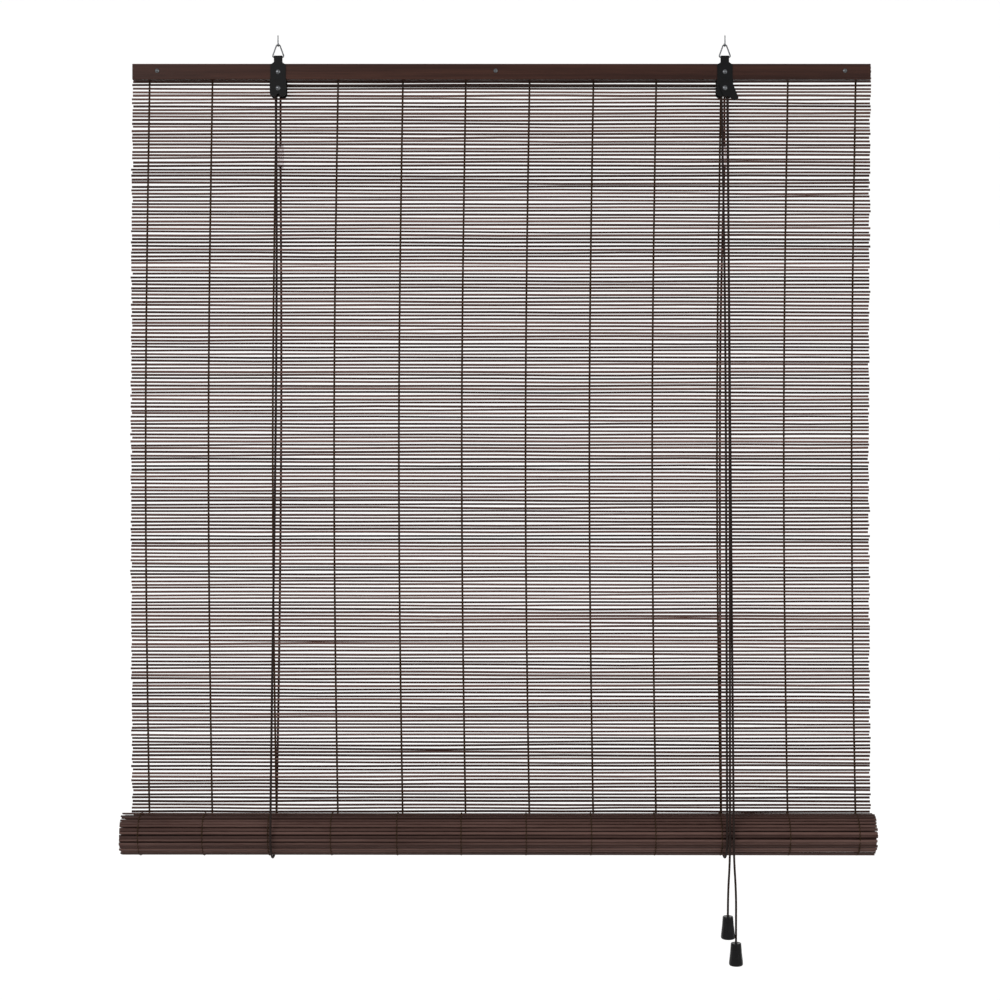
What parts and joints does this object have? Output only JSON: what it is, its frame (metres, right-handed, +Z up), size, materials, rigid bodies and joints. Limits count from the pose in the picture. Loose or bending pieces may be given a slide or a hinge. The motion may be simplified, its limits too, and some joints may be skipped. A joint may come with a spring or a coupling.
{
  "type": "bamboo roll up blind",
  "caption": "Window blind of thin dark slats tied with threads, hung from a head rail on two hooked rings and rolled up by cords that end in tassels.",
  "frame": {"origin": "midway between the two hooks' shanks, on the line where they leave the ceiling", "axes": "+X along the head rail to the viewer's right, -Y towards the room, +Z up"},
  "size_m": [1.0043, 0.078, 1.2415],
  "materials": {
    "bracket_steel": "satin black paint",
    "zinc_steel": "zinc plated",
    "rail_wood": "stained and lacquered",
    "slat_bamboo": "stained",
    "warp_thread": "twisted thread",
    "lift_cord": "braided",
    "tassel_plastic": "moulded",
    "pulley_plastic": "moulded",
    "clear_plastic": "clear, moulded"
  },
  "bodies": {
    "hooks": {"left_hook": "zinc_steel", "right_hook": "zinc_steel"},
    "rings": {"left_ring": "zinc_steel", "right_ring": "zinc_steel"},
    "headrail": {"left_bracket": "bracket_steel", "right_bracket": "bracket_steel", "left_upper_rivet": "zinc_steel", "right_upper_rivet": "zinc_steel", "left_axle_rivet": "zinc_steel", "right_axle_rivet": "zinc_steel", "front_rail": "rail_wood", "back_batten": "rail_wood", "rail_screws": "zinc_steel", "clamped_slats": "slat_bamboo", "hanging_slats": "slat_bamboo", "warp_thread_01": "warp_thread", "warp_thread_02": "warp_thread", "warp_thread_03": "warp_thread", "warp_thread_04": "warp_thread", "warp_thread_05": "warp_thread", "warp_thread_06": "warp_thread", "warp_thread_07": "warp_thread", "warp_thread_08": "warp_thread", "warp_thread_09": "warp_thread", "warp_thread_10": "warp_thread", "warp_thread_11": "warp_thread", "warp_thread_12": "warp_thread", "lift_cord_knots": "lift_cord", "left_cord_top": "lift_cord", "right_cord_top": "lift_cord", "left_connector": "clear_plastic", "right_connector": "clear_plastic", "left_cord_back_run": "lift_cord", "left_cord_front_run": "lift_cord", "right_cord_back_run": "lift_cord", "right_cord_front_run": "lift_cord", "cross_cord": "lift_cord", "right_cord_turn": "lift_cord", "pull_cord_1_upper": "lift_cord", "pull_cord_2_upper": "lift_cord"},
    "left_pulley": {"left_pulley": "pulley_plastic"},
    "right_pulley": {"right_pulley": "pulley_plastic"},
    "lock_lever": {"lock_lever": "bracket_steel"},
    "slings": {"left_cord_sling": "lift_cord", "right_cord_sling": "lift_cord", "pull_cord_1_lower": "lift_cord", "pull_cord_2_lower": "lift_cord"},
    "roll": {"rolled_curtain": "slat_bamboo", "bottom_batten": "rail_wood"},
    "tassel_1": {"tassel_1": "tassel_plastic", "tassel_1_knot": "lift_cord"},
    "tassel_2": {"tassel_2": "tassel_plastic", "tassel_2_knot": "lift_cord"}
  },
  "joints": [
    {"name": "ring_swing", "type": "hinge", "parent": "hooks", "child": "rings", "pos_m": [0, -0.00198, -0.0069], "axis": [1, 0, 0], "range_deg": [-40, 40]},
    {"name": "head_swing", "type": "hinge", "parent": "rings", "child": "headrail", "pos_m": [0, -0.00198, -0.0235], "axis": [1, 0, 0], "range_deg": [-40, 40]},
    {"name": "left_pulley_turn", "type": "hinge", "parent": "headrail", "child": "left_pulley", "pos_m": [-0.301, 0, -0.0655], "axis": [0, 1, 0], "continuous": true},
    {"name": "right_pulley_turn", "type": "hinge", "parent": "headrail", "child": "right_pulley", "pos_m": [0.301, 0, -0.0655], "axis": [0, 1, 0], "continuous": true},
    {"name": "lever_swing", "type": "hinge", "parent": "headrail", "child": "lock_lever", "pos_m": [0.301, 0, -0.0655], "axis": [0, 1, 0], "range_deg": [0, 22]},
    {"name": "roll_lift", "type": "slide", "parent": "headrail", "child": "slings", "axis": [0, 0, 1], "range_m": [0, 0.85], "deforming": ["hanging_slats", "warp_thread_01", "warp_thread_02", "warp_thread_03", "warp_thread_04", "warp_thread_05", "warp_thread_06", "warp_thread_07", "warp_thread_08", "warp_thread_09", "warp_thread_10", "warp_thread_11", "warp_thread_12", "left_cord_back_run", "right_cord_back_run", "left_cord_front_run", "right_cord_front_run", "pull_cord_1_upper", "pull_cord_2_upper"]},
    {"name": "roll_turn", "type": "hinge", "parent": "slings", "child": "roll", "pos_m": [0, -0.01853, -1.0665], "axis": [1, 0, 0], "continuous": true},
    {"name": "tassel_1_drop", "type": "slide", "parent": "slings", "child": "tassel_1", "axis": [0, 0, -1], "range_m": [0, 2.55], "deforming": ["pull_cord_1_lower"]},
    {"name": "tassel_2_drop", "type": "slide", "parent": "slings", "child": "tassel_2", "axis": [0, 0, -1], "range_m": [0, 2.55], "deforming": ["pull_cord_2_lower"]}
  ],
  "couplings": [
    {"joint": "left_pulley_turn", "follows": "roll_lift", "rad_per_m": 476.19},
    {"joint": "right_pulley_turn", "follows": "roll_lift", "rad_per_m": 476.19},
    {"joint": "roll_turn", "follows": "roll_lift", "rad_per_m": -34.722},
    {"joint": "tassel_1_drop", "follows": "roll_lift", "ratio": 3},
    {"joint": "tassel_2_drop", "follows": "roll_lift", "ratio": 3}
  ]
}
